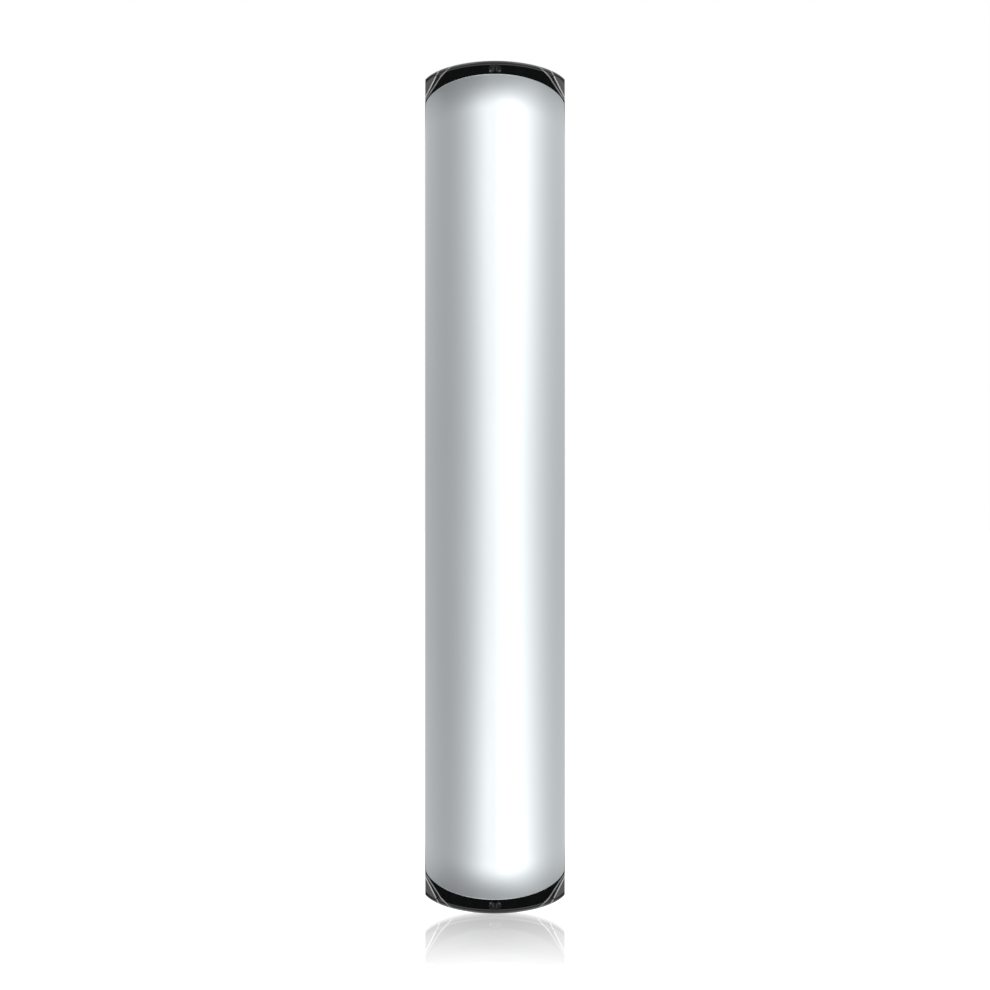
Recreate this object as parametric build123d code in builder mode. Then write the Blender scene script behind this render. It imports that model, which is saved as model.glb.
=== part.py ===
"""Mezuzah case: a black back plate and a pull-off satin cover, with a rolled parchment in a clear tube.

Frame: +Z up, the front faces -Y, and the origin is the centre of the back face, which lies on the door post.
Everything is in millimetres. Plane.XZ faces -Y, so extruding from it by a positive amount goes forwards.
"""

from build123d import *
import os
from math import acos, cos, degrees, radians, sin, tan

os.makedirs("parts", exist_ok=True)

# ---- Whole case
case_height = 122.0
case_width = 20.0
case_depth = 14.5

# ---- End outline, shared by the plate and the cover: part of an ellipse, cut off by the straight sides
end_arc_half_width = 10.55
end_arc_rise = 3.95
trim_half_width = 10.4

# ---- Back plate
plate_thickness = 2.2
rim_round = 0.7
flange_length = 4.35
nail_hole_radius = 0.6
nail_countersink_radius = 1.0
nail_skin = 0.3
nail_margin = 1.5
nail_z = case_height / 2 - nail_margin

# ---- Clipped corners of the plate: two facets, each below a straight ridge given as (x, z) at its ends
ridge_inner = ((9.37, 56.35), (6.58, 59.85))
ridge_outer = ((9.76, 56.30), (8.16, 59.45))
facet_inner_tilt = radians(4)
facet_outer_tilt = radians(12)
facet_cut = 12.0

# ---- Front cover: drafted sides, a round crown, and a crown that drops gently towards each end
cover_wall = 1.2
cover_end_wall = 1.4
cover_half_width = 9.89
cover_draft = radians(2.5)
seat_gap = 0.1
cover_half_height = case_height / 2 - flange_length
cover_base_y = -(plate_thickness + seat_gap)
roll_start = cover_half_height - 5.2
roll_length = 5.6
roll_drop = 1.2
roll_steps = 3

# The crown's radius makes the drafted sides meet the seat at cover_half_width and the crown at case_depth.
crown_radius = (cover_half_width * cos(cover_draft) - (case_depth + cover_base_y) * sin(cover_draft)) / (
    1 - sin(cover_draft)
)
crown_centre_y = -(case_depth - crown_radius)

# ---- Rib on the plate that locates the cover
rib_height = 0.8
rib_width = 0.6
rib_clearance = 0.12
rib_half_height = cover_half_height - cover_end_wall - rib_clearance
rib_half_width = cover_half_width - cover_wall - rib_clearance

# ---- Scroll tube, its plugs and the parchment
tube_radius = 4.8
tube_wall = 0.5
tube_half_length = 50.7
tube_y = -(plate_thickness + 0.8 + tube_radius)
plug_head = 1.0
plug_depth = 2.0
plug_wall = 0.32
plug_clearance = 0.03
sheet_height = 100.0
sheet_thickness = 0.2
roll_pitch = 0.39
roll_core_radius = 1.3
half_turns = 12

# ---- Cradles
cradle_half_width = 7.8
cradle_height = 3.4
cradle_seat_clearance = 0.1
cradle_start = 40.5
cradle_stop = tube_half_length + plug_head + 0.3
stop_thickness = 1.2
stop_half_width = 6.0
stop_tab_half_width = 4.0
stop_tab_front_y = -9.0
edge_break = 0.3
cradle_front_y = -(plate_thickness + cradle_height)

# ---- Cradle screws, driven from the plate's back
screw_x = 6.5
screw_z = 43.5
screw_radius = 0.8
screw_head_radius = 1.5
screw_head_sink = 0.1
screw_head_land = 0.1
screw_length = 4.4
screw_hole_clearance = 0.03
screw_countersink_radius = screw_head_radius + screw_head_sink + screw_head_land + screw_hole_clearance
screw_slot_width = 0.35
screw_slot_length = 1.7
screw_slot_depth = 0.4

# ---- Magnets: one set in the cradles, one in the tips of the cover's posts
magnet_x = 6.5
magnet_z = 47.5
magnet_radius = 1.0
magnet_length = 1.5
magnet_clearance = 0.03
magnet_gap = 0.2
post_radius = 1.45
post_tip_y = cradle_front_y - magnet_gap

# ---- Felt pads on the inside of the crown
felt_thickness = 0.5
felt_length = 12.0
felt_z = 28.0
felt_half_angle = 22.0


def slab_outline(half_height, half_width, mode=Mode.ADD):
    """Add the case's front outline to the open sketch: straight sides and an arc at each end."""
    start = degrees(acos(half_width / end_arc_half_width))
    sweep_size = 180 - 2 * start
    arc_centre = half_height - end_arc_rise
    with BuildLine() as outline:
        upper = EllipticalCenterArc(
            (0, arc_centre), end_arc_half_width, end_arc_rise, start, arc_size=sweep_size
        )
        lower = EllipticalCenterArc(
            (0, -arc_centre), end_arc_half_width, end_arc_rise, 180 + start, arc_size=sweep_size
        )
        Line(upper @ 1, lower @ 0)
        Line(lower @ 1, upper @ 0)
    make_face(outline.edges(), mode=mode)


def cover_profile(inset, crown_drop=0.0):
    """Add the cover's cross section to the open sketch, inset from its outside by a wall."""
    radius = crown_radius - inset
    shoulder = (radius * cos(cover_draft), crown_centre_y - radius * sin(cover_draft))
    base_x = shoulder[0] + (cover_base_y - shoulder[1]) * tan(cover_draft)
    crown = (0, crown_centre_y - radius + crown_drop)
    with BuildLine() as section:
        Line((base_x, cover_base_y), shoulder)
        ThreePointArc(shoulder, crown, (-shoulder[0], shoulder[1]))
        Line((-shoulder[0], shoulder[1]), (-base_x, cover_base_y))
        Line((-base_x, cover_base_y), (base_x, cover_base_y))
    make_face(section.edges())


def facet_plane(ridge, ridge_depths, tilt):
    """Return the plane of a corner facet: it holds the ridge and falls away towards the corner."""
    start, end = [
        Vector(point[0], -plate_thickness + depth, point[1]) for point, depth in zip(ridge, ridge_depths)
    ]
    along = (start - end).normalized()
    outward = Vector(-along.Z, 0, along.X).normalized()
    if outward.X < 0:
        outward = outward * -1
    fall = outward * cos(tilt) + Vector(0, sin(tilt), 0)
    normal = along.cross(fall).normalized()
    return Plane(origin=(start + end) * 0.5, x_dir=along, z_dir=normal)


def inner_facet_depth(point):
    """Depth of the inner corner facet below the plate's front, at an (x, z) point."""
    start, end = [Vector(p[0], 0, p[1]) for p in ridge_inner]
    along = (end - start).normalized()
    offset = Vector(point[0], 0, point[1]) - start
    return offset.cross(along).length * tan(facet_inner_tilt)


screw_points = [(x, z) for x in (-screw_x, screw_x) for z in (-screw_z, screw_z)]


# ---- Back plate
with BuildPart() as corner_cutters:
    inner = facet_plane(ridge_inner, (0, 0), facet_inner_tilt)
    outer = facet_plane(ridge_outer, [inner_facet_depth(p) for p in ridge_outer], facet_outer_tilt)
    for facet in (inner, outer):
        with BuildSketch(facet):
            Rectangle(2 * facet_cut, facet_cut, align=(Align.CENTER, Align.MIN))
        extrude(amount=facet_cut)
    mirror(about=Plane.YZ)
    mirror(about=Plane.XY)

with BuildPart() as back_plate:
    with BuildSketch(Plane.XZ):
        slab_outline(case_height / 2, case_width / 2)
    extrude(amount=plate_thickness)
    end_edges = back_plate.edges().filter_by(GeomType.ELLIPSE).group_by(Axis.Y)[0]
    fillet(end_edges, rim_round)
    add(corner_cutters.part, mode=Mode.SUBTRACT)
    with BuildSketch(Plane.XZ.offset(plate_thickness)):
        slab_outline(rib_half_height, rib_half_width)
        slab_outline(rib_half_height - rib_width, rib_half_width - rib_width, mode=Mode.SUBTRACT)
    extrude(amount=rib_height)
    with Locations(Plane.XZ.offset(plate_thickness)):
        with Locations((0, nail_z), (0, -nail_z)):
            CounterSinkHole(nail_hole_radius, nail_countersink_radius, depth=plate_thickness - nail_skin)
    with Locations(Plane(origin=(0, 0, 0), x_dir=(1, 0, 0), z_dir=(0, 1, 0))):
        with Locations(*screw_points):
            CounterSinkHole(
                screw_radius + screw_hole_clearance, screw_countersink_radius, counter_sink_angle=90
            )
back_plate.part.label = "back_plate"


# ---- Cradles, the upper one drawn and the lower one its mirror image
with BuildPart() as upper_cradle:
    with BuildSketch(Plane.XZ.offset(plate_thickness)):
        with Locations((0, cradle_start)):
            Rectangle(2 * cradle_half_width, cradle_stop - cradle_start, align=(Align.CENTER, Align.MIN))
        with Locations((0, cradle_stop)):
            Rectangle(2 * stop_half_width, stop_thickness, align=(Align.CENTER, Align.MIN))
    extrude(amount=cradle_height)
    outer_edges = upper_cradle.edges().filter_by(Axis.Z).group_by(Axis.Y)[0]
    chamfer(outer_edges, edge_break)
    with BuildSketch(Plane.XY.offset(cradle_start)):
        with Locations((0, tube_y)):
            Circle(tube_radius + cradle_seat_clearance)
    extrude(amount=cradle_stop - cradle_start, mode=Mode.SUBTRACT)
    with BuildSketch(Plane.XY.offset(cradle_stop)):
        with Locations((0, -plate_thickness)):
            Rectangle(
                2 * stop_tab_half_width, -stop_tab_front_y - plate_thickness, align=(Align.CENTER, Align.MAX)
            )
    extrude(amount=stop_thickness)
    tab_corners = upper_cradle.edges().filter_by(Axis.Z).group_by(Axis.Y)[0]
    fillet(tab_corners, stop_thickness)
    with BuildSketch(Plane.XZ.offset(-cradle_front_y)):
        with Locations((magnet_x, magnet_z), (-magnet_x, magnet_z)):
            Circle(magnet_radius + magnet_clearance)
    extrude(amount=-magnet_length, mode=Mode.SUBTRACT)
    with BuildSketch(Plane.XZ.offset(plate_thickness)):
        with Locations((screw_x, screw_z), (-screw_x, screw_z)):
            Circle(screw_radius + screw_hole_clearance)
    extrude(amount=screw_length - plate_thickness + screw_head_sink + edge_break, mode=Mode.SUBTRACT)
upper_cradle.part.label = "upper_cradle"

with BuildPart() as lower_cradle:
    mirror(upper_cradle.part, about=Plane.XY)
lower_cradle.part.label = "lower_cradle"


# ---- Cradle screws: one turned and slotted, then four set in place
with BuildPart() as screw:
    with BuildSketch(Plane.XY):
        with BuildLine():
            land_end = screw_head_sink + screw_head_land
            cone_end = land_end + screw_head_radius - screw_radius
            tip = screw_head_sink + screw_length
            Polyline(
                (0, -screw_head_sink),
                (screw_head_radius, -screw_head_sink),
                (screw_head_radius, -land_end),
                (screw_radius, -cone_end),
                (screw_radius, -tip + 0.25),
                (screw_radius - 0.25, -tip),
                (0, -tip),
                close=True,
            )
        make_face()
    revolve(axis=Axis.Y)
    with BuildSketch(Plane.XZ.offset(screw_head_sink)):
        Rectangle(screw_slot_length, screw_slot_width)
        Rectangle(screw_slot_width, screw_slot_length)
    extrude(amount=screw_slot_depth, mode=Mode.SUBTRACT)

with BuildPart() as cradle_screws:
    with Locations(*[(x, 0, z) for x, z in screw_points]):
        add(screw.part)
cradle_screws.part.label = "cradle_screws"


# ---- Front cover
with BuildPart() as cover_hollow:
    with BuildSketch(Plane.XY.offset(-cover_half_height)):
        cover_profile(cover_wall)
    extrude(amount=2 * cover_half_height)
    with BuildSketch(Plane.XZ):
        slab_outline(cover_half_height - cover_end_wall, trim_half_width)
    extrude(amount=case_depth, mode=Mode.INTERSECT)
    with BuildSketch(Plane.XZ.offset(-post_tip_y)):
        with GridLocations(2 * magnet_x, 2 * magnet_z, 2, 2):
            Circle(post_radius)
    extrude(amount=case_depth, mode=Mode.SUBTRACT)

with BuildPart() as front_cover:
    with BuildSketch(Plane.XY.offset(-roll_start)):
        cover_profile(0)
    extrude(amount=2 * roll_start)
    for side in (1, -1):
        for step in range(roll_steps + 1):
            fraction = step / roll_steps
            with BuildSketch(Plane.XY.offset(side * (roll_start + fraction * roll_length))):
                cover_profile(0, roll_drop * fraction**2)
        loft()
    with BuildSketch(Plane.XZ):
        slab_outline(cover_half_height, trim_half_width)
    extrude(amount=case_depth + 1, mode=Mode.INTERSECT)
    add(cover_hollow.part, mode=Mode.SUBTRACT)
    with BuildSketch(Plane.XZ.offset(-post_tip_y)):
        with GridLocations(2 * magnet_x, 2 * magnet_z, 2, 2):
            Circle(magnet_radius + magnet_clearance)
    extrude(amount=magnet_length, mode=Mode.SUBTRACT)
front_cover.part.label = "front_cover"


# ---- Magnets, two in each cradle and two in each end of the cover
def magnet_pair(face_y, centre_z, depth):
    """Add two magnets to the open part, each with one end on a face and reaching depth forwards of it."""
    with BuildSketch(Plane.XZ.offset(-face_y)) as ends:
        with Locations((magnet_x, centre_z), (-magnet_x, centre_z)):
            Circle(magnet_radius)
    extrude(ends.sketch, amount=depth)


with BuildPart() as upper_base_magnets:
    magnet_pair(cradle_front_y, magnet_z, -magnet_length)
upper_base_magnets.part.label = "upper_base_magnets"

with BuildPart() as lower_base_magnets:
    magnet_pair(cradle_front_y, -magnet_z, -magnet_length)
lower_base_magnets.part.label = "lower_base_magnets"

with BuildPart() as upper_cover_magnets:
    magnet_pair(post_tip_y, magnet_z, magnet_length)
upper_cover_magnets.part.label = "upper_cover_magnets"

with BuildPart() as lower_cover_magnets:
    magnet_pair(post_tip_y, -magnet_z, magnet_length)
lower_cover_magnets.part.label = "lower_cover_magnets"


# ---- Felt pads
def felt_pad(centre_z):
    """Add one felt pad to the open part: a strip bent to the inside of the crown."""
    outer = crown_radius - cover_wall
    inner = outer - felt_thickness
    centre = (0, crown_centre_y)
    start = 270 - felt_half_angle
    with BuildSketch(Plane.XY.offset(centre_z - felt_length / 2)) as section:
        with BuildLine():
            glued = CenterArc(centre, outer, start, 2 * felt_half_angle)
            free = CenterArc(centre, inner, start, 2 * felt_half_angle)
            Line(glued @ 0, free @ 0)
            Line(glued @ 1, free @ 1)
        make_face()
    extrude(section.sketch, amount=felt_length)


with BuildPart() as upper_felt_pad:
    felt_pad(felt_z)
upper_felt_pad.part.label = "upper_felt_pad"

with BuildPart() as lower_felt_pad:
    felt_pad(-felt_z)
lower_felt_pad.part.label = "lower_felt_pad"


# ---- Scroll tube and its plugs
with BuildPart() as scroll_tube:
    with BuildSketch(Plane.XY.offset(-tube_half_length)):
        with Locations((0, tube_y)):
            Circle(tube_radius)
            Circle(tube_radius - tube_wall, mode=Mode.SUBTRACT)
    extrude(amount=2 * tube_half_length)
scroll_tube.part.label = "scroll_tube"

with BuildPart() as upper_tube_plug:
    with BuildSketch(Plane.XY.offset(tube_half_length)):
        with Locations((0, tube_y)):
            Circle(tube_radius)
    extrude(amount=plug_head)
    chamfer(upper_tube_plug.edges().group_by(Axis.Z)[-1], edge_break)
    with BuildSketch(Plane.XY.offset(tube_half_length)):
        with Locations((0, tube_y)):
            Circle(tube_radius - tube_wall - plug_clearance)
            Circle(tube_radius - tube_wall - plug_clearance - plug_wall, mode=Mode.SUBTRACT)
    extrude(amount=-plug_depth)
upper_tube_plug.part.label = "upper_tube_plug"

with BuildPart() as lower_tube_plug:
    mirror(upper_tube_plug.part, about=Plane.XY)
lower_tube_plug.part.label = "lower_tube_plug"


# ---- Parchment: a sheet rolled into a spiral of half circles about two centres, each larger than the last
with BuildPart() as parchment_scroll:
    with BuildSketch(Plane.XY.offset(-sheet_height / 2)):
        with BuildLine():
            for face_offset in (0, sheet_thickness):
                for turn in range(half_turns):
                    odd = turn % 2
                    centre = ((odd - 0.5) * roll_pitch / 2, tube_y)
                    radius = roll_core_radius + face_offset + turn * roll_pitch / 2
                    CenterArc(centre, radius, 180 * odd, 180)
            inner_x = roll_core_radius - roll_pitch / 4
            outer_x = inner_x + half_turns * roll_pitch / 2
            Line((inner_x, tube_y), (inner_x + sheet_thickness, tube_y))
            Line((outer_x, tube_y), (outer_x + sheet_thickness, tube_y))
        make_face()
    extrude(amount=sheet_height)
parchment_scroll.part.label = "parchment_scroll"


for piece in (
    back_plate,
    upper_cradle,
    lower_cradle,
    cradle_screws,
    upper_base_magnets,
    lower_base_magnets,
    front_cover,
    upper_cover_magnets,
    lower_cover_magnets,
    upper_felt_pad,
    lower_felt_pad,
    scroll_tube,
    upper_tube_plug,
    lower_tube_plug,
    parchment_scroll,
):
    export_step(piece.part, f"parts/{piece.part.label}.step")
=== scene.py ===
"""Looks for the mezuzah case: satin cover, piano-black back plate, and the scroll tube inside.

Metres, in the part's frame: +Z up, the front faces -Y, the back plate's rear face at y = 0.
"""

import math

import bmesh
import bpy
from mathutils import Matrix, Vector, noise


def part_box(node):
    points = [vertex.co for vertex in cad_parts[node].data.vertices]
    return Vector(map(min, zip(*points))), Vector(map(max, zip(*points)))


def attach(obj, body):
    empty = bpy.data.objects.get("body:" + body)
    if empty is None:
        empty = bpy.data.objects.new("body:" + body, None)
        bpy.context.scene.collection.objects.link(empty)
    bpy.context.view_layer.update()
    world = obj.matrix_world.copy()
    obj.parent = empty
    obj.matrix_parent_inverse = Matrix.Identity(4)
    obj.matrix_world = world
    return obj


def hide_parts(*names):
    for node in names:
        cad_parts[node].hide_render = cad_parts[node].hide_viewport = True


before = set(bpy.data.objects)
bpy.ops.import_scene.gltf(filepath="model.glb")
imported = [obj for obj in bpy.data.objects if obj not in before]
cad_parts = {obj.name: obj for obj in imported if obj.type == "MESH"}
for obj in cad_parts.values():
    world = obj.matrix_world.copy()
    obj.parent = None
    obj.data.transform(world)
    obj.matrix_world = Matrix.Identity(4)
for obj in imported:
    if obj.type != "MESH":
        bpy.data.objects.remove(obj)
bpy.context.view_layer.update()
MM = 0.001

# ---- Sizes read from the frame
plate_low, plate_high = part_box("back_plate")
cover_low, cover_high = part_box("front_cover")
tube_low, tube_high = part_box("scroll_tube")
magnet_low, magnet_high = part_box("upper_cover_magnets")
sheet_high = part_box("parchment_scroll")[1]

# The cover's sides sit flush with the plate's to within a hair, which the boxes leave a little wider.
SIDE_TRIM = 0.045 * MM

CASE_HALF_HEIGHT = plate_high.z
CASE_HALF_WIDTH = plate_high.x - SIDE_TRIM
COVER_HALF_HEIGHT = cover_high.z
COVER_HALF_WIDTH = cover_high.x + SIDE_TRIM
COVER_BASE_Y = cover_high.y
COVER_CROWN_Y = cover_low.y
TUBE_RADIUS = tube_high.x
TUBE_Y = (tube_low.y + tube_high.y) / 2

# ---- Shape values that the boxes don't give. Most are as in the part's source.
ARC_HALF_WIDTH = 10.55 * MM
ARC_RISE = 3.95 * MM
PLATE_THICKNESS = 2.2 * MM
RIM_ROUND = 0.7 * MM
COVER_DRAFT = math.radians(2.5)
COVER_WALL = 1.2 * MM
COVER_END_WALL = 1.4 * MM
ROLL_LENGTH = 5.4 * MM
ROLL_DROP = 1.05 * MM
SIDE_ROLL = 0.05 * MM
OUTER_LIP = 0.08 * MM
INNER_LIP = 0.5 * MM
TUBE_WALL = 0.5 * MM
SHEET_THICKNESS = 0.2 * MM
FELT_THICKNESS = 0.5 * MM

# ---- Share of a rounding's width that is gone half way round it
ROUND_MIDDLE = 0.3

# ---- Tolerances of the meshes
EPSILON = 1e-6
TINY = 1e-7


# ================================================================ meshes
def new_object(name, mesh):
    """Link a mesh into the scene as an object."""
    thing = bpy.data.objects.new(name, mesh)
    bpy.context.scene.collection.objects.link(thing)
    return thing


def mesh_from(name, points, faces):
    """A mesh object from points and faces, with matching normals and no doubled points."""
    bm = bmesh.new()
    verts = [bm.verts.new(p) for p in points]
    for face in faces:
        corners = []
        for i in face:
            if verts[i] not in corners:
                corners.append(verts[i])
        if len(corners) > 2:
            bm.faces.new(corners)
    bmesh.ops.remove_doubles(bm, verts=bm.verts, dist=EPSILON)
    bmesh.ops.dissolve_degenerate(bm, edges=bm.edges, dist=TINY)
    bmesh.ops.recalc_face_normals(bm, faces=bm.faces)
    mesh = bpy.data.meshes.new(name)
    bm.to_mesh(mesh)
    bm.free()
    return new_object(name, mesh)


def two_sided(name, points, width, height):
    """A closed mesh from two grids of points, one after the other, joined round their borders."""
    layer = width * height
    faces = []
    for side in (0, layer):
        for r in range(height - 1):
            for c in range(width - 1):
                a = side + r * width + c
                faces.append((a, a + 1, a + width + 1, a + width))
    last = height - 1
    border = [(0, c) for c in range(width)]
    border += [(r, width - 1) for r in range(1, height)]
    border += [(last, c) for c in range(width - 2, -1, -1)]
    border += [(r, 0) for r in range(last - 1, 0, -1)]
    for (r1, c1), (r2, c2) in zip(border, border[1:] + border[:1]):
        a = r1 * width + c1
        b = r2 * width + c2
        faces.append((a, b, layer + b, layer + a))
    return mesh_from(name, points, faces)


def smooth_by_angle(thing, degrees):
    """Shade smooth, with edges sharper than an angle kept sharp."""
    bm = bmesh.new()
    bm.from_mesh(thing.data)
    limit = math.radians(degrees)
    for edge in bm.edges:
        edge.smooth = len(edge.link_faces) == 2 and edge.calc_face_angle(0.0) < limit
    for face in bm.faces:
        face.smooth = True
    bm.to_mesh(thing.data)
    bm.free()


def apply_modifiers(thing):
    """Bake the object's modifiers into its mesh."""
    graph = bpy.context.evaluated_depsgraph_get()
    graph.update()
    baked = bpy.data.meshes.new_from_object(thing.evaluated_get(graph))
    thing.modifiers.clear()
    thing.data = baked


def weight_normals(thing):
    """Keep the flats' shading flat between rounded edges."""
    weighted = thing.modifiers.new("normals", "WEIGHTED_NORMAL")
    weighted.keep_sharp = True
    weighted.weight = 100


def round_edges(thing, width):
    """Round every edge of a small moulding sharper than an angle, and give the flats clean normals."""
    bevel = thing.modifiers.new("round", "BEVEL")
    bevel.width = width
    bevel.segments = 2
    bevel.limit_method = "ANGLE"
    bevel.angle_limit = math.radians(25)
    bevel.use_clamp_overlap = True
    bevel.harden_normals = False
    bevel.miter_outer = "MITER_ARC"
    apply_modifiers(thing)
    for polygon in thing.data.polygons:
        polygon.use_smooth = True
    weight_normals(thing)


def lathe(name, profile, centre, axis, segments=96):
    """A solid of revolution: profile is a closed loop of (radius, height) about an axis, "Y" or "Z"."""
    points = []
    faces = []
    count = len(profile)
    for i in range(segments):
        angle = math.tau * i / segments
        for radius, height in profile:
            a = radius * math.cos(angle)
            b = radius * math.sin(angle)
            local = (a, height, b) if axis == "Y" else (a, b, height)
            points.append(Vector(centre) + Vector(local))
        for j in range(count):
            k = (j + 1) % count
            nxt = (i + 1) % segments
            faces.append((i * count + j, i * count + k, nxt * count + k, nxt * count + j))
    return mesh_from(name, points, faces)


def arc_points(centre, radius, start, end, steps):
    """Points on an arc in a plane, angles in degrees."""
    out = []
    for i in range(steps + 1):
        angle = math.radians(start + (end - start) * i / steps)
        out.append((centre[0] + radius * math.cos(angle), centre[1] + radius * math.sin(angle)))
    return out


def softened(node, name, width):
    """A copy of a small CAD node with its edges rounded, to stand for it."""
    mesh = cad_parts[node].data.copy()
    mesh.materials.clear()
    thing = new_object(name, mesh)
    bm = bmesh.new()
    bm.from_mesh(mesh)
    bmesh.ops.remove_doubles(bm, verts=bm.verts, dist=EPSILON)
    bmesh.ops.dissolve_limit(
        bm, angle_limit=math.radians(0.5), verts=bm.verts, edges=bm.edges, use_dissolve_boundaries=False
    )
    bmesh.ops.recalc_face_normals(bm, faces=bm.faces)
    bm.to_mesh(mesh)
    bm.free()
    round_edges(thing, width)
    return thing


# ================================================================ node helpers
class NodeTree:
    """The nodes of a material or a world under construction, with short calls for the ones in use."""

    def __init__(self, owner):
        owner.use_nodes = True
        self.nodes = owner.node_tree.nodes
        self.links = owner.node_tree.links
        self.nodes.clear()

    def ramp(self, value, low, high, out_low=0.0, out_high=1.0):
        """Map a field from one range to another, clamped and smooth."""
        node = self.nodes.new("ShaderNodeMapRange")
        node.interpolation_type = "SMOOTHSTEP"
        node.inputs["From Min"].default_value = low
        node.inputs["From Max"].default_value = high
        node.inputs["To Min"].default_value = out_low
        node.inputs["To Max"].default_value = out_high
        self.links.new(value, node.inputs["Value"])
        return node.outputs["Result"]

    def maths(self, operation, a, b=0.0):
        """A maths node on two fields or numbers."""
        node = self.nodes.new("ShaderNodeMath")
        node.operation = operation
        for socket, value in zip(node.inputs, (a, b)):
            if isinstance(value, (int, float)):
                socket.default_value = value
            else:
                self.links.new(value, socket)
        return node.outputs["Value"]

    def blend(self, factor, first, second):
        """A shader mixed from two others by a field."""
        node = self.nodes.new("ShaderNodeMixShader")
        self.links.new(factor, node.inputs["Fac"])
        self.links.new(first, node.inputs[1])
        self.links.new(second, node.inputs[2])
        return node.outputs["Shader"]


class Shader(NodeTree):
    """A material on a principled shader."""

    def __init__(self, name):
        self.material = bpy.data.materials.new(name)
        super().__init__(self.material)
        output = self.nodes.new("ShaderNodeOutputMaterial")
        self.surface = self.nodes.new("ShaderNodeBsdfPrincipled")
        self.links.new(self.surface.outputs["BSDF"], output.inputs["Surface"])
        self.place = self.nodes.new("ShaderNodeTexCoord").outputs["Object"]

    def set(self, **values):
        """Set sockets of the principled shader, with underscores for the spaces in their names."""
        for key, value in values.items():
            self.surface.inputs[key.replace("_", " ")].default_value = value

    def stretch(self, scale):
        """Object coordinates scaled by (x, y, z)."""
        mapping = self.nodes.new("ShaderNodeMapping")
        mapping.inputs["Scale"].default_value = scale
        self.links.new(self.place, mapping.inputs["Vector"])
        return mapping.outputs["Vector"]

    def noise(self, scale, detail=3.0, rough=0.5, vector=None, distortion=0.0):
        """A noise field, 0 to 1."""
        node = self.nodes.new("ShaderNodeTexNoise")
        node.inputs["Scale"].default_value = scale
        node.inputs["Detail"].default_value = detail
        node.inputs["Roughness"].default_value = rough
        node.inputs["Distortion"].default_value = distortion
        self.links.new(self.place if vector is None else vector, node.inputs["Vector"])
        return node.outputs["Fac"]

    def attribute(self, name):
        """A field painted on the mesh."""
        node = self.nodes.new("ShaderNodeAttribute")
        node.attribute_name = name
        return node.outputs["Fac"]

    def mix(self, factor, first, second):
        """A colour mixed by a field."""
        node = self.nodes.new("ShaderNodeMix")
        node.data_type = "RGBA"
        self.links.new(factor, node.inputs["Factor"])
        for socket, value in ((node.inputs[6], first), (node.inputs[7], second)):
            if isinstance(value, tuple):
                socket.default_value = (*value, 1.0)
            else:
                self.links.new(value, socket)
        return node.outputs[2]

    def bump(self, height, strength, distance):
        """A bump from a field."""
        node = self.nodes.new("ShaderNodeBump")
        node.inputs["Strength"].default_value = strength
        node.inputs["Distance"].default_value = distance
        self.links.new(height, node.inputs["Height"])
        return node.outputs["Normal"]

    def link(self, output, socket):
        """Feed a field into one of the principled shader's sockets."""
        self.links.new(output, self.surface.inputs[socket])


# ================================================================ materials
# Painted shade on the cover's flanks near its ends: how dark it gets at most, and the colour it darkens
# towards
END_PAINTED_SHADE = 0.33
BLACK = (0.0, 0.0, 0.0)
# Pale grey mixed into the black for its painted highlights
HIGHLIGHT_GREY = (0.62, 0.63, 0.64)


def satin_silver():
    """Bead-blasted and anodised: a pearl finish with a very fine grain and faint handling marks.

    The cover's flanks are a little darker near its ends: painted shade, where the light falls off.
    """
    m = Shader("satin_silver")
    m.set(Metallic=1.0)
    grain = m.noise(9000, detail=2.0, rough=0.6)
    cloud = m.noise(60, detail=3.0, vector=m.stretch((1.0, 1.0, 0.35)))
    smear = m.noise(240, detail=4.0, rough=0.6, vector=m.stretch((1.0, 1.0, 0.12)), distortion=0.6)
    patches = m.maths("ADD", m.maths("MULTIPLY", cloud, 0.7), m.maths("MULTIPLY", grain, 0.3))
    silver = m.mix(m.ramp(patches, 0.35, 0.65), (0.735, 0.777, 0.795), (0.763, 0.806, 0.825))
    # Painted shade: the base colour darkened towards black near the cover's ends, more at the sides
    shade = m.maths("MULTIPLY", m.attribute("painted_end_shade"), END_PAINTED_SHADE)
    m.link(m.mix(shade, silver, BLACK), "Base Color")
    handled = m.ramp(smear, 0.3, 0.7, 0.30, 0.335)
    m.link(m.maths("ADD", handled, m.ramp(grain, 0.3, 0.7, -0.012, 0.012)), "Roughness")
    m.link(m.bump(grain, 0.05, 0.00002), "Normal")
    return m.material


def piano_black():
    """Polished black moulding with a little dust, hairlines from wiping, and painted highlights as bright
    lines along its ridges, over its rim and at its nail holes.
    """
    m = Shader("piano_black")
    m.set(Coat_Weight=0.3, Coat_Roughness=0.03)
    dust = m.ramp(m.noise(2600, detail=4.0, rough=0.7), 0.68, 0.80)
    wiped = m.noise(500, detail=5.0, rough=0.7, vector=m.stretch((1.0, 1.0, 0.05)))
    uneven = m.ramp(m.noise(700, detail=3.0), 0.3, 0.7, 0.75, 1.0)
    # Painted highlight: pale grey mixed in where the mesh marks it, a little uneven
    highlight_level = m.maths("MULTIPLY", m.attribute("painted_highlight"), uneven)
    black = m.mix(dust, (0.0020, 0.0026, 0.0028), (0.012, 0.012, 0.012))
    m.link(m.mix(highlight_level, black, HIGHLIGHT_GREY), "Base Color")
    m.link(m.maths("ADD", m.ramp(wiped, 0.4, 0.75, 0.05, 0.09), m.maths("MULTIPLY", dust, 0.1)), "Roughness")
    m.link(m.bump(m.noise(90, detail=2.0), 0.02, 0.0002), "Normal")
    return m.material


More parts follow.
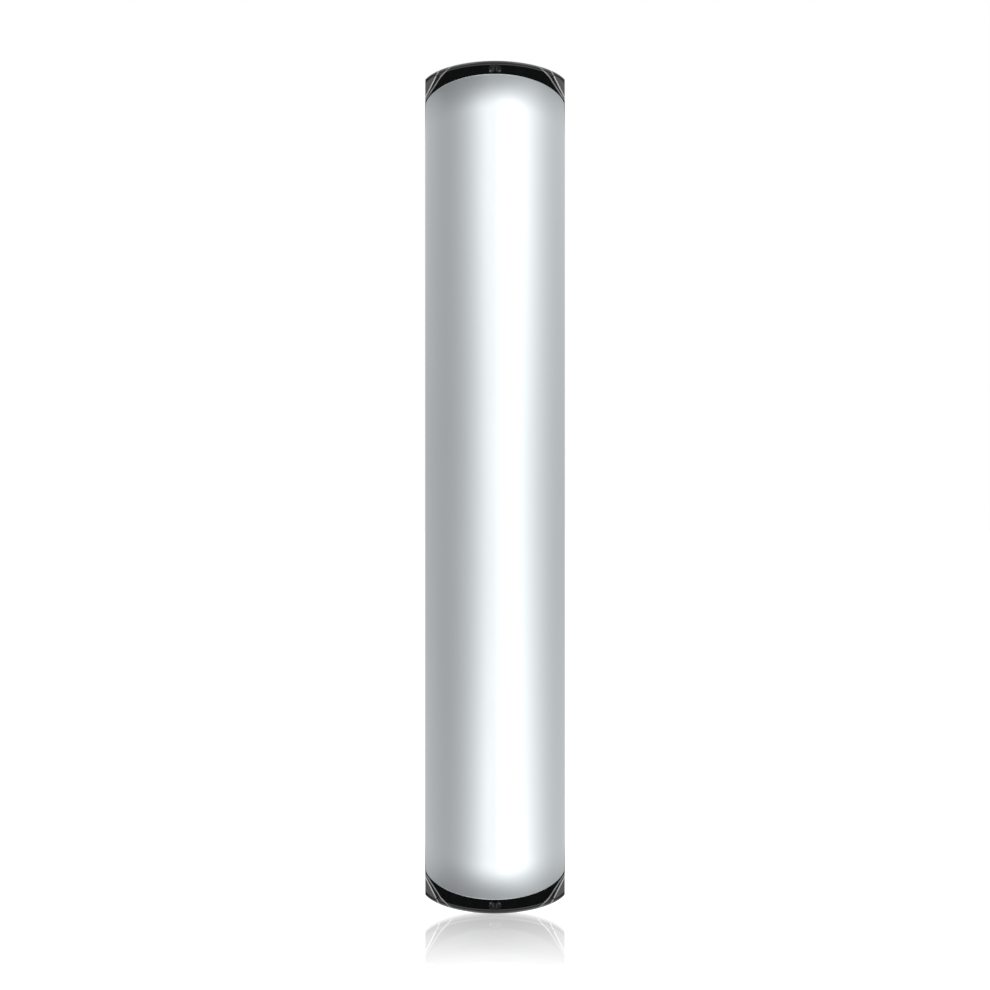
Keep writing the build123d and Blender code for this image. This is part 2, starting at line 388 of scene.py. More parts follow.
def black_moulding():
    """Fine spark-eroded black plastic."""
    m = Shader("black_moulding")
    pits = m.noise(5200, detail=4.0, rough=0.65)
    m.link(m.mix(m.ramp(pits, 0.35, 0.7), (0.016, 0.016, 0.017), (0.032, 0.032, 0.034)), "Base Color")
    m.link(m.ramp(m.noise(700, detail=3.0), 0.3, 0.7, 0.42, 0.56), "Roughness")
    m.link(m.bump(pits, 0.35, 0.00003), "Normal")
    return m.material


def screw_steel():
    """Zinc-plated steel with turning marks."""
    m = Shader("screw_steel")
    m.set(Metallic=1.0)
    turned = m.noise(3000, detail=2.0, vector=m.stretch((1.0, 6.0, 1.0)))
    m.link(m.mix(m.ramp(turned, 0.3, 0.7), (0.50, 0.50, 0.48), (0.66, 0.65, 0.62)), "Base Color")
    m.link(m.ramp(m.noise(1500, detail=3.0), 0.3, 0.7, 0.22, 0.38), "Roughness")
    m.link(m.bump(turned, 0.1, 0.00002), "Normal")
    return m.material


def nickel_plate():
    """Nickel plating on the magnets, slightly clouded."""
    m = Shader("nickel_plate")
    m.set(Metallic=1.0)
    cloud = m.noise(1800, detail=3.0)
    m.link(m.mix(m.ramp(cloud, 0.3, 0.7), (0.60, 0.57, 0.52), (0.70, 0.68, 0.63)), "Base Color")
    m.link(m.ramp(cloud, 0.3, 0.7, 0.12, 0.24), "Roughness")
    return m.material


def grey_felt():
    """Pressed wool felt."""
    m = Shader("grey_felt")
    m.set(Roughness=0.95, Sheen_Weight=0.5, Sheen_Roughness=0.5, Specular_IOR_Level=0.15)
    fibre = m.noise(2600, detail=6.0, rough=0.75, distortion=1.2)
    m.link(m.mix(m.ramp(fibre, 0.3, 0.7), (0.10, 0.10, 0.105), (0.24, 0.24, 0.245)), "Base Color")
    m.link(m.bump(fibre, 0.9, 0.00015), "Normal")
    return m.material


def clear_plastic():
    """Clear extruded tube with faint draw lines."""
    m = Shader("clear_plastic")
    m.set(Base_Color=(0.96, 0.98, 0.985, 1.0), Transmission_Weight=1.0, IOR=1.12)
    lines = m.noise(1400, detail=3.0, vector=m.stretch((1.0, 1.0, 0.01)))
    m.link(m.ramp(lines, 0.3, 0.7, 0.03, 0.09), "Roughness")
    m.link(m.bump(lines, 0.06, 0.00003), "Normal")
    return m.material


def white_moulding():
    """Soft white plug plastic, a little milky."""
    m = Shader("white_moulding")
    m.set(Subsurface_Weight=0.15, Subsurface_Scale=0.0006)
    grain = m.noise(3000, detail=3.0)
    m.link(m.mix(m.ramp(grain, 0.3, 0.7), (0.72, 0.72, 0.70), (0.80, 0.80, 0.78)), "Base Color")
    m.link(m.ramp(grain, 0.3, 0.7, 0.36, 0.48), "Roughness")
    m.link(m.bump(grain, 0.15, 0.00002), "Normal")
    return m.material


def parchment():
    """Scraped skin: cream, with pale veins, darker follicles and a soft nap. It is blank."""
    m = Shader("parchment")
    m.set(Subsurface_Weight=0.1, Subsurface_Scale=0.0004, Specular_IOR_Level=0.3)
    cloud = m.noise(110, detail=4.0, rough=0.6)
    veins = m.ramp(m.noise(300, detail=5.0, rough=0.7, distortion=1.5), 0.46, 0.54)
    pores = m.ramp(m.noise(4200, detail=2.0), 0.66, 0.74)
    base = m.mix(m.ramp(cloud, 0.3, 0.7), (0.62, 0.50, 0.32), (0.76, 0.66, 0.47))
    veined = m.mix(m.maths("MULTIPLY", veins, 0.18), base, (0.84, 0.76, 0.60))
    m.link(m.mix(m.maths("MULTIPLY", pores, 0.45), veined, (0.42, 0.31, 0.18)), "Base Color")
    m.link(m.ramp(cloud, 0.3, 0.7, 0.55, 0.72), "Roughness")
    m.link(m.bump(m.noise(1500, detail=5.0, rough=0.7), 0.3, 0.00008), "Normal")
    return m.material


MATERIALS = {
    "satin_silver": satin_silver(),
    "gloss_black": piano_black(),
    "black_moulding": black_moulding(),
    "screw_steel": screw_steel(),
    "nickel_plate": nickel_plate(),
    "grey_felt": grey_felt(),
    "clear_plastic": clear_plastic(),
    "white_moulding": white_moulding(),
    "parchment": parchment(),
}


def finish_piece(thing, slot, body, *nodes):
    """Give a piece its material and slot, put it on its body, and let it stand for its CAD nodes."""
    thing.data.materials.clear()
    thing.data.materials.append(MATERIALS[slot])
    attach(thing, body)
    if nodes:
        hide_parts(*nodes)
    return thing


# ================================================================ the case's outline and the cover's section
def arc_drop(x):
    """How far the end outline falls below its apex at x."""
    return ARC_RISE * (1 - math.sqrt(max(0.0, 1 - (x / ARC_HALF_WIDTH) ** 2)))


PLATE_CORNER_Z = CASE_HALF_HEIGHT - arc_drop(CASE_HALF_WIDTH)
CROWN_RADIUS = (
    COVER_HALF_WIDTH * math.cos(COVER_DRAFT) - (COVER_BASE_Y - COVER_CROWN_Y) * math.sin(COVER_DRAFT)
) / (1 - math.sin(COVER_DRAFT))
CROWN_CENTRE_Y = COVER_CROWN_Y + CROWN_RADIUS


def cover_section(inset, side_steps=10, crown_steps=96):
    """Points and outward normals, (x, y, nx, ny), across the cover from its right seat to its left."""
    radius = CROWN_RADIUS - inset
    shoulder_x = radius * math.cos(COVER_DRAFT)
    shoulder_y = CROWN_CENTRE_Y - radius * math.sin(COVER_DRAFT)
    base_x = shoulder_x + (COVER_BASE_Y - shoulder_y) * math.tan(COVER_DRAFT)
    side_normal = (math.cos(COVER_DRAFT), -math.sin(COVER_DRAFT))
    right = []
    for i in range(side_steps):
        t = i / side_steps
        x = base_x + (shoulder_x - base_x) * t
        y = COVER_BASE_Y + (shoulder_y - COVER_BASE_Y) * t
        right.append((x, y, *side_normal))
    crown = []
    sweep = math.pi - 2 * COVER_DRAFT
    for i in range(crown_steps + 1):
        angle = COVER_DRAFT + sweep * i / crown_steps
        nx, ny = math.cos(angle), -math.sin(angle)
        crown.append((radius * nx, CROWN_CENTRE_Y + radius * ny, nx, ny))
    left = [(-x, y, -nx, ny) for x, y, nx, ny in reversed(right)]
    return right + crown + left


def tub(inset, end_inset, lip, roll_drop, side_roll, wall_rows=8, lip_rows=6, half_rows=70):
    """Grid of points over a trough: up one end wall, along the crown, and down the other end wall."""
    section = cover_section(inset)
    shoulder_y = CROWN_CENTRE_Y - (CROWN_RADIUS - inset) * math.sin(COVER_DRAFT)
    crown_depth = shoulder_y - (CROWN_CENTRE_Y - (CROWN_RADIUS - inset))
    apex = COVER_HALF_HEIGHT - end_inset

    def roll(x, y, from_end):
        """The crown drops, and the sides come in a little, over the last stretch before each end."""
        part = max(0.0, 1 - from_end / ROLL_LENGTH) ** 2
        x *= 1 - side_roll * part / COVER_HALF_WIDTH
        if y < shoulder_y:
            y = shoulder_y + (y - shoulder_y) * (1 - roll_drop * part / crown_depth)
        return x, y

    def end_row(sign, theta):
        """A row round the end's rounded edge, from the crown (0) to the end wall (a quarter turn)."""
        row = []
        for x, y, nx, ny in section:
            in_by = lip * (1 - math.cos(theta))
            px, py = roll(x, y, lip * (1 - math.sin(theta)))
            px -= nx * in_by
            py = min(py - ny * in_by, COVER_BASE_Y)
            z = apex - arc_drop(px) - lip + lip * math.sin(theta)
            row.append((px, py, sign * z))
        return row

    def wall_row(sign, t):
        """A row down the end wall, from its edge (0) to the seat (1)."""
        return [(px, py + (COVER_BASE_Y - py) * t, pz) for px, py, pz in end_row(sign, math.pi / 2)]

    rows = []
    for sign in (-1, 1):
        walls = [wall_row(sign, (i + 1) / wall_rows) for i in range(wall_rows)]
        lips = [end_row(sign, math.pi / 2 * i / lip_rows) for i in range(1, lip_rows + 1)]
        along = []
        for i in range(half_rows + 1):
            t = math.sin(math.pi / 2 * i / half_rows)
            row = []
            for x, y, nx, ny in section:
                z_end = apex - arc_drop(x) - lip
                row.append((*roll(x, y, (1 - t) * z_end + lip), sign * z_end * t))
            along.append(row)
        half = along + lips + walls
        if sign < 0:
            rows.extend(reversed(half))
        else:
            rows.extend(half[1:])
    return rows


# How steeply the painted shade on the flanks near the cover's ends grows towards its sides
END_PAINTED_SHADE_POWER = 2.3


def cover_shell():
    """The cover: an outer and an inner trough joined round the seat."""
    outer = tub(0.0, 0.0, OUTER_LIP, ROLL_DROP, SIDE_ROLL)
    inner = tub(COVER_WALL, COVER_END_WALL, INNER_LIP, 0.0, 0.0)
    points = [point for rows in (outer, inner) for row in rows for point in row]
    shell = two_sided("cover_shell", points, len(outer[0]), len(outer))
    smooth_by_angle(shell, degrees=35)
    # Painted shade near the ends, stronger towards the sides, stored on the points for the material
    shade = shell.data.attributes.new("painted_end_shade", "FLOAT", "POINT")
    for vertex in shell.data.vertices:
        from_end = COVER_HALF_HEIGHT - arc_drop(vertex.co.x) - abs(vertex.co.z)
        near_end = min(1.0, max(0.0, 1 - from_end / ROLL_LENGTH)) ** 2
        shade.data[vertex.index].value = near_end * (abs(vertex.co.x) / COVER_HALF_WIDTH) ** END_PAINTED_SHADE_POWER
    return shell


def cover_posts():
    """Four posts inside the cover, each with a pocket for its magnet, rooted in the wall."""
    tip_y = magnet_high.y
    magnet_radius = (magnet_high.z - magnet_low.z) / 2
    centre_x = magnet_high.x - magnet_radius
    centre_z = (magnet_high.z + magnet_low.z) / 2
    radius = 1.45 * MM
    side_clearance = 0.03 * MM
    end_clearance = 0.02 * MM
    pocket = magnet_radius + side_clearance
    depth = magnet_high.y - magnet_low.y + end_clearance
    soft = 0.12 * MM
    segments = 64
    root_radius = CROWN_RADIUS - COVER_WALL / 2
    rings = [(0.0, depth), (pocket, depth), (pocket, soft), (pocket + soft / 2, 0.0)]
    rings += [(radius - soft, 0.0), (radius - soft * ROUND_MIDDLE, soft * ROUND_MIDDLE), (radius, soft)]
    points = []
    faces = []
    for sx in (-1, 1):
        for sz in (-1, 1):
            start = len(points)
            for ring_radius, ring_depth in rings:
                for i in range(segments):
                    angle = math.tau * i / segments
                    x = sx * centre_x + ring_radius * math.cos(angle)
                    points.append((x, tip_y - ring_depth, sz * centre_z + ring_radius * math.sin(angle)))
            for i in range(segments):
                angle = math.tau * i / segments
                x = sx * centre_x + radius * math.cos(angle)
                y = CROWN_CENTRE_Y - math.sqrt(root_radius**2 - x * x)
                points.append((x, y, sz * centre_z + radius * math.sin(angle)))
            for r in range(len(rings)):
                for i in range(segments):
                    k = (i + 1) % segments
                    a = start + r * segments
                    faces.append((a + i, a + k, a + segments + k, a + segments + i))
            top = start + len(rings) * segments
            faces.append(tuple(range(top, top + segments)))
    posts = mesh_from("cover_posts", points, faces)
    smooth_by_angle(posts, degrees=40)
    return posts


# ================================================================ back plate
def plate_outline(steps=96):
    """(x, z) points round the plate, anticlockwise from its lower right corner."""
    outline = [(CASE_HALF_WIDTH, -PLATE_CORNER_Z), (CASE_HALF_WIDTH, PLATE_CORNER_Z)]
    limit = math.acos(CASE_HALF_WIDTH / ARC_HALF_WIDTH)
    for i in range(1, steps):
        angle = limit + (math.pi - 2 * limit) * i / steps
        x = ARC_HALF_WIDTH * math.cos(angle)
        outline.append((x, CASE_HALF_HEIGHT - ARC_RISE + ARC_RISE * math.sin(angle)))
    outline.append((-CASE_HALF_WIDTH, PLATE_CORNER_Z))
    outline.append((-CASE_HALF_WIDTH, -PLATE_CORNER_Z))
    for x, z in reversed(outline[2 : 1 + steps]):
        outline.append((x, -z))
    return outline


# ---- Clipped corners: facets below ridges given as (x, z) at their ends. The inner ridge bends half way.
# A narrow strip runs along each ridge and over the rim, with a painted highlight as a bright line.
RIDGE_INNER = ((8.85 * MM, 56.90 * MM), (7.72 * MM, 58.65 * MM))
RIDGE_INNER_TOP = ((7.72 * MM, 58.65 * MM), (6.60 * MM, 59.80 * MM))
RIDGE_OUTER = ((9.80 * MM, 55.90 * MM), (8.42 * MM, 58.65 * MM))
TILT_INNER = math.radians(0.9)
TILT_INNER_TOP = math.radians(1.1)
TILT_OUTER = math.radians(1.5)
STRIP_WIDTH = 0.16 * MM
STRIP_MATCH = math.cos(math.radians(0.2))
CORNER_FLIPS = [Vector((sx, 1, sz)) for sx in (1, -1) for sz in (1, -1)]

# ---- Painted highlights, as the share of the pale highlight grey. A face that looks forwards by more than the match isn't on the rim.
STRIP_SHINE = {"inner": 0.5, "inner top": 0.6, "outer": 0.9}
RIM_SHINE = 0.10
RIM_SHINE_START = 0.1
RIM_STRIP_SHARE = 0.7
FRONT_MATCH = 0.9992

# ---- Holes. The nail cutter's number of sides keeps its corners off the plate's middle line.
NAIL_Z = CASE_HALF_HEIGHT - 1.5 * MM
NAIL_HOLE_RADIUS = 0.6 * MM
NAIL_SINK_RADIUS = 1.0 * MM
NAIL_SINK_ANGLE = math.radians(41)
NAIL_SKIN = 0.3 * MM
NAIL_CUTTER_SIDES = 98
# Painted glint in a band across each countersink, out to this radius, which is also a corner of the nail
# cutter
GLINT_RADIUS = 0.78 * MM
GLINT_HALF_HEIGHT = 0.14 * MM
GLINT_SHINE = 0.4
SCREW_HEAD_RADIUS = 1.5 * MM
SCREW_SINK_RADIUS = 1.73 * MM
SCREW_HOLE_RADIUS = 0.83 * MM
SCREW_CUTTER_SIDES = 64
CUTTER_REACH = 1.0 * MM


def facet_plane(ridge, depths, tilt, inset):
    """A point and the outward normal of a facet below a ridge, in the upper right corner.

    The facet starts a little inside the ridge, by the inset.
    """
    start, end = [Vector((x, depth - PLATE_THICKNESS, z)) for (x, z), depth in zip(ridge, depths)]
    along = (end - start).normalized()
    outward = Vector((along.z, 0.0, -along.x)).normalized()
    if outward.x < 0:
        outward = -outward
    fall = outward * math.cos(tilt) + Vector((0.0, math.sin(tilt), 0.0))
    normal = along.cross(fall).normalized()
    if normal.y > 0:
        normal = -normal
    return start - outward * inset, normal


def ridge_line(ridge):
    """A point on a ridge's line, and the direction across it away from the case's middle, both level."""
    start, end = [Vector((x, 0.0, z)) for x, z in ridge]
    along = (end - start).normalized()
    across = Vector((along.z, 0.0, -along.x))
    return start, across if across.x > 0 else -across


def inner_depth(point):
    """Depth of the inner facet below the plate's front, at an (x, z) point."""
    start, across = ridge_line(RIDGE_INNER)
    return abs((Vector((point[0], 0.0, point[1])) - start).dot(across)) * math.tan(TILT_INNER)


def corner_planes():
    """Planes that clip the upper right corner: name, a point on the plane and its outward normal."""
    half = STRIP_WIDTH / 2
    flush = (0.0, 0.0)
    depths = [inner_depth(point) for point in RIDGE_OUTER]
    raised = [depth - half * math.tan(TILT_INNER) for depth in depths]
    return [
        ("inner facet", *facet_plane(RIDGE_INNER, flush, TILT_INNER, 0.0)),
        ("inner", *facet_plane(RIDGE_INNER, flush, TILT_INNER / 2, half)),
        ("inner top facet", *facet_plane(RIDGE_INNER_TOP, flush, TILT_INNER_TOP, 0.0)),
        ("inner top", *facet_plane(RIDGE_INNER_TOP, flush, TILT_INNER_TOP / 2, half)),
        ("outer facet", *facet_plane(RIDGE_OUTER, depths, TILT_OUTER, 0.0)),
        ("outer", *facet_plane(RIDGE_OUTER, raised, (TILT_INNER + TILT_OUTER) / 2, half)),
    ]


def clip_corners(bm, planes):
    """Clip the plate's four corners by planes given for the upper right one, and close the cuts."""
    for _, origin, normal in planes:
        for flip in CORNER_FLIPS:
            cut = bmesh.ops.bisect_plane(
                bm,
                geom=list(bm.verts) + list(bm.edges) + list(bm.faces),
                dist=TINY,
                plane_co=origin * flip,
                plane_no=normal * flip,
                clear_outer=True,
            )
            loop = [g for g in cut["geom_cut"] if isinstance(g, bmesh.types.BMEdge)]
            bmesh.ops.contextual_create(bm, geom=loop)


def split_rim_at_strips(bm):
    """Edges across the rounded rim where the strips' two sides reach it, so that a strip can run over it."""
    for ridge in (RIDGE_INNER_TOP, RIDGE_OUTER):
        start, across = ridge_line(ridge)
        for side in (-STRIP_WIDTH / 2, STRIP_WIDTH / 2):
            for flip in CORNER_FLIPS:
                rim = []
                for face in bm.faces:
                    place = face.calc_center_median() * flip
                    rounded = place.y < RIM_ROUND - PLATE_THICKNESS and face.normal.y > -FRONT_MATCH
                    if rounded and place.x > 0 and place.z > 0:
                        rim.append(face)
                edges = list(dict.fromkeys(e for face in rim for e in face.edges))
                verts = list(dict.fromkeys(v for face in rim for v in face.verts))
                origin = (start + across * side) * flip
                bmesh.ops.bisect_plane(
                    bm, geom=rim + edges + verts, dist=TINY, plane_co=origin, plane_no=across * flip
                )


def mark_painted_highlights(plate, planes):
    """Paint highlights on the faces: the rim, brighter the more it faces the case's end, the strips along the
    ridges, and the nail holes' glints.
    """
    shine = plate.data.attributes.new("painted_highlight", "FLOAT", "FACE")
    rim_strips = {"inner top": ridge_line(RIDGE_INNER_TOP), "outer": ridge_line(RIDGE_OUTER)}
    for face in plate.data.polygons:
        facing = Vector((abs(face.normal.x), face.normal.y, abs(face.normal.z)))
        place = Vector((abs(face.center.x), face.center.y, abs(face.center.z)))
        is_front = facing.y <= -FRONT_MATCH
        highlight_level = 0.0
        if place.z > PLATE_CORNER_Z - EPSILON and place.y < RIM_ROUND - PLATE_THICKNESS:
            # Painted highlight on the rounded rim, brighter the more it faces towards the case's end
            highlight_level = RIM_SHINE * max(0.0, facing.z - RIM_SHINE_START)
            for name, (start, across) in rim_strips.items():
                if abs((place - start).dot(across)) < STRIP_WIDTH / 2 and not is_front:
                    highlight_level = RIM_STRIP_SHARE * STRIP_SHINE[name]
        # Painted glints in a narrow band across each nail hole's countersink
        from_nail = Vector((place.x, place.z - NAIL_Z))
        in_ring = NAIL_HOLE_RADIUS < from_nail.length < GLINT_RADIUS
        if in_ring and abs(from_nail.y) < GLINT_HALF_HEIGHT and not is_front:
            highlight_level = GLINT_SHINE
        # Painted highlight along the narrow strips at the ridges
        for name, origin, normal in planes:
            on_plane = abs((place - origin).dot(normal)) < EPSILON and facing.dot(normal) > STRIP_MATCH
            if name in STRIP_SHINE and on_plane:
                highlight_level = STRIP_SHINE[name]
                for loop in face.loop_indices:
                    plate.data.edges[plate.data.loops[loop].edge_index].use_edge_sharp = True
        shine.data[face.index].value = highlight_level


def plate_body():
    """The black plate: rounded at its end arcs, clipped at its corners, with holes for nails and screws."""
    outline = plate_outline()
    count = len(outline)
    bm = bmesh.new()
    back = [bm.verts.new((x, 0.0, z)) for x, z in outline]
    front = [bm.verts.new((x, -PLATE_THICKNESS, z)) for x, z in outline]
    bm.faces.new(back)
    bm.faces.new(list(reversed(front)))
    for i in range(count):
        k = (i + 1) % count
        bm.faces.new((back[i], front[i], front[k], back[k]))
    bmesh.ops.recalc_face_normals(bm, faces=bm.faces)
    rim = [
        e
        for e in bm.edges
        if all(v.co.y < -PLATE_THICKNESS / 2 and abs(v.co.z) > PLATE_CORNER_Z - EPSILON for v in e.verts)
        and e.verts[0].co.z * e.verts[1].co.z > 0
    ]
    bmesh.ops.bevel(
        bm, geom=rim, offset=RIM_ROUND, segments=16, profile=0.5, affect="EDGES", clamp_overlap=False
    )
    planes = corner_planes()
    clip_corners(bm, planes)
    bmesh.ops.recalc_face_normals(bm, faces=bm.faces)
    split_rim_at_strips(bm)
    mesh = bpy.data.meshes.new("plate_body")
    bm.to_mesh(mesh)
    bm.free()
    plate = new_object("plate_body", mesh)
    for cutter in nail_cutters() + screw_cutters():
        boolean = plate.modifiers.new("hole", "BOOLEAN")
        boolean.operation = "DIFFERENCE"
        boolean.solver = "EXACT"
        boolean.object = cutter
        apply_modifiers(plate)
        bpy.data.objects.remove(cutter)
    smooth_by_angle(plate, degrees=6.5)
    mark_painted_highlights(plate, planes)
    weight_normals(plate)
    return plate


def nail_cutters():
    """Cutters for the two countersunk nail holes, which stop at a thin skin."""
    front = -PLATE_THICKNESS
    top = front - CUTTER_REACH
    sink = NAIL_SINK_RADIUS - NAIL_HOLE_RADIUS
    cone = sink / math.tan(NAIL_SINK_ANGLE)
    profile = [(0.0, -NAIL_SKIN), (NAIL_HOLE_RADIUS, -NAIL_SKIN), (NAIL_HOLE_RADIUS, front + cone)]
    profile += [(GLINT_RADIUS, front + cone * (NAIL_SINK_RADIUS - GLINT_RADIUS) / sink)]
    profile += [(NAIL_SINK_RADIUS, front), (NAIL_SINK_RADIUS, top), (0.0, top)]
    centres = [(0, 0, NAIL_Z), (0, 0, -NAIL_Z)]
    return [lathe("nail_cutter", profile, centre, "Y", segments=NAIL_CUTTER_SIDES) for centre in centres]


def screw_cutters():
    """Cutters for the four countersunk screw holes in the plate's back."""
    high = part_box("cradle_screws")[1]
    x = high.x - SCREW_HEAD_RADIUS
    z = high.z - SCREW_HEAD_RADIUS
    top = -PLATE_THICKNESS - CUTTER_REACH
    profile = [(0.0, CUTTER_REACH), (SCREW_SINK_RADIUS, CUTTER_REACH), (SCREW_SINK_RADIUS, 0.0)]
    profile += [(SCREW_HOLE_RADIUS, SCREW_HOLE_RADIUS - SCREW_SINK_RADIUS), (SCREW_HOLE_RADIUS, top)]
    profile += [(0.0, top)]
    centres = [(sx * x, 0, sz * z) for sx in (1, -1) for sz in (1, -1)]
    return [lathe("screw_cutter", profile, centre, "Y", segments=SCREW_CUTTER_SIDES) for centre in centres]


def locating_rib():
    """The low rib on the plate's front that the cover fits over."""
    clearance = 0.12 * MM
    width = 0.6 * MM
    height = -plate_low.y - PLATE_THICKNESS
    soft = 0.12 * MM
    half_width = COVER_HALF_WIDTH - COVER_WALL - clearance
    apex = COVER_HALF_HEIGHT - COVER_END_WALL - clearance
    front = -PLATE_THICKNESS - height
    steps = 64

    def ring(inset):
        """(x, z) points round the rib, set in from its outer face."""
        limit = math.acos((half_width - inset) / ARC_HALF_WIDTH)
        loop = []
        for i in range(steps + 1):
            angle = limit + (math.pi - 2 * limit) * i / steps
            x = ARC_HALF_WIDTH * math.cos(angle)
            loop.append((x, apex - inset - ARC_RISE + ARC_RISE * math.sin(angle)))
        return loop + [(-x, -z) for x, z in loop]

    sunk = 0.05 * MM
    root = -PLATE_THICKNESS + sunk
    middle = soft * ROUND_MIDDLE
    layers = [(0.0, root), (0.0, front + soft), (middle, front + middle), (soft, front)]
    layers += [(width - soft, front), (width - middle, front + middle), (width, front + soft)]
    layers += [(width, root)]
    rings = [[(x, y, z) for x, z in ring(inset)] for inset, y in layers]
    count = len(rings[0])
    points = [p for r in rings for p in r]
    faces = []
    for r in range(len(rings)):
        nxt = (r + 1) % len(rings)
        for i in range(count):
            k = (i + 1) % count
            faces.append((r * count + i, r * count + k, nxt * count + k, nxt * count + i))
    rib = mesh_from("locating_rib", points, faces)
    smooth_by_angle(rib, degrees=50)
    return rib


# ================================================================ scroll tube, parchment and felt
def scroll_tube():
    """Clear tube with flame-rounded ends."""
    half = tube_high.z
    soft = TUBE_WALL / 2
    inner = TUBE_RADIUS - TUBE_WALL
    profile = arc_points((inner + soft, half - soft), soft, 0, 180, 8)
    profile += arc_points((inner + soft, -half + soft), soft, 180, 360, 8)
    tube = lathe("clear_tube", profile, (0, TUBE_Y, 0), "Z", segments=128)
    smooth_by_angle(tube, degrees=60)
    return tube


def rolled_sheet():
    """The parchment: a thin sheet wound into a spiral, with slightly uneven edges and a soft cockle."""
    turns = 6.0
    clearance = 0.02 * MM
    margin = 0.25 * MM
    cockle_size = 0.05 * MM
    ragged_size = 0.12 * MM
    radius_out = min(sheet_high.x, TUBE_RADIUS - TUBE_WALL) - SHEET_THICKNESS - clearance
    radius_in = 1.25 * MM
    around = 420
    rows = 60
    half = sheet_high.z
    points = []
    for side in (0, 1):
        for r in range(rows + 1):
            v = 2 * r / rows - 1
            for i in range(around + 1):
                t = i / around
                angle = math.tau * turns * t
                radius = radius_in + (radius_out - radius_in) * t
                cockle = noise.noise(Vector((angle * 0.35, v * 6.0, 3.0))) * cockle_size
                radius += cockle * (0.3 + 0.7 * abs(v)) + side * SHEET_THICKNESS
                ragged = noise.noise(Vector((angle * 1.3, math.copysign(9.0, v), 0.0))) * ragged_size
                z = v * (half - margin) + math.copysign(ragged, v) * abs(v) ** 12
                points.append((radius * math.cos(angle), TUBE_Y + radius * math.sin(angle), z))
    sheet = two_sided("rolled_parchment", points, around + 1, rows + 1)
    smooth_by_angle(sheet, degrees=50)
    return sheet


def felt_strip(name, low, high):
    """A felt pad bent to the inside of the crown, with soft edges and a lightly uneven face."""
    outer = CROWN_RADIUS - COVER_WALL
    behind = 0.01 * MM
    fuzz_size = 0.03 * MM
    front = FELT_THICKNESS - 0.04 * MM
    half_angle = math.asin(high.x / outer)
    columns, rows = 40, 60
    centre_z = (low.z + high.z) / 2
    half_z = (high.z - low.z) / 2
    points = []
    for side in (0, 1):
        for r in range(rows + 1):
            v = 2 * r / rows - 1
            for c in range(columns + 1):
                u = 2 * c / columns - 1
                edge = max(abs(u), abs(v)) ** 14
                fuzz = noise.noise(Vector((u * 9.0, v * 17.0, high.z * 1000))) * fuzz_size
                depth = behind if side == 0 else front * (1 - 0.45 * edge) + fuzz
                angle = half_angle * u * (1 - 0.03 * side)
                radius = outer - depth
                x = radius * math.sin(angle)
                y = CROWN_CENTRE_Y - radius * math.cos(angle)
                points.append((x, y, centre_z + v * half_z * (1 - 0.015 * side)))
    pad = two_sided(name, points, columns + 1, rows + 1)
    smooth_by_angle(pad, degrees=60)
    return pad


# ================================================================ pieces
finish_piece(cover_shell(), "satin_silver", "cover", "front_cover")
finish_piece(cover_posts(), "satin_silver", "cover")
finish_piece(plate_body(), "gloss_black", "base", "back_plate")
finish_piece(locating_rib(), "gloss_black", "base")
finish_piece(scroll_tube(), "clear_plastic", "tube", "scroll_tube")
finish_piece(rolled_sheet(), "parchment", "scroll", "parchment_scroll")
for end in ("upper", "lower"):
    low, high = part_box(f"{end}_felt_pad")
    pad = finish_piece(felt_strip(f"{end}_felt", low, high), "grey_felt", "cover", f"{end}_felt_pad")
    cradle = softened(f"{end}_cradle", f"{end}_tube_cradle", width=0.08 * MM)
    finish_piece(cradle, "black_moulding", "base", f"{end}_cradle")
    plug = softened(f"{end}_tube_plug", f"{end}_plug", width=0.06 * MM)
    finish_piece(plug, "white_moulding", "tube", f"{end}_tube_plug")
    for place, body in (("base", "base"), ("cover", "cover")):
        node = f"{end}_{place}_magnets"
        finish_piece(softened(node, f"{end}_{place}_magnet_pair", width=0.1 * MM), "nickel_plate", body, node)
screws = softened("cradle_screws", "plate_screws", width=0.04 * MM)
finish_piece(screws, "screw_steel", "base", "cradle_screws")


# ================================================================ stage, light and camera
# Lobes are (azimuth in degrees to the right of the front, strength, narrowness). Steepness is the sine of the
# elevation, upwards or downwards, and an edge is a pair of levels between which a light fades in or out.
TENT = 0.11
TENT_RISE = 0.32
TENT_FALL = 0.70
SHOULDER_START = 0.15
SHOULDER_END = 0.45
KEY = (12.5, 0.67, 4.0)
KEY_END = 0.85
KEY_AT_ZENITH = 0.04
PANELS = (17.0, 1.36, 3.8)
PANEL_STEEPNESS = 0.24
BACK_FILL = (152.0, 0.46, 0.32)
ROOF = 1.1
ROOF_EDGE = (0.84, 0.95)
BACK_ROOF_EDGE = (0.45, 0.65)
BACK_ROOF_TURN = (0.2, 0.6)
ROOF_GAP_EDGE = (0.03, 0.12)
ROOF_GAP_LEVEL = 0.3
FLAG_ELEVATION = 11.9
FLAG_RADII = (4.8, 2.8)
FLAG_DARKNESS = 0.97
FLAG_TURN = (-0.1, 0.1)
FLOOR_HALF_WIDTH = 3.0
FLOOR_GLOW = 1.04
FLOOR_GLOSS = 0.50
FLOOR_GAIN = 2.35
FLOOR_ROUGHNESS = 0.03
FLOOR_GLOSS_REACH = 0.046


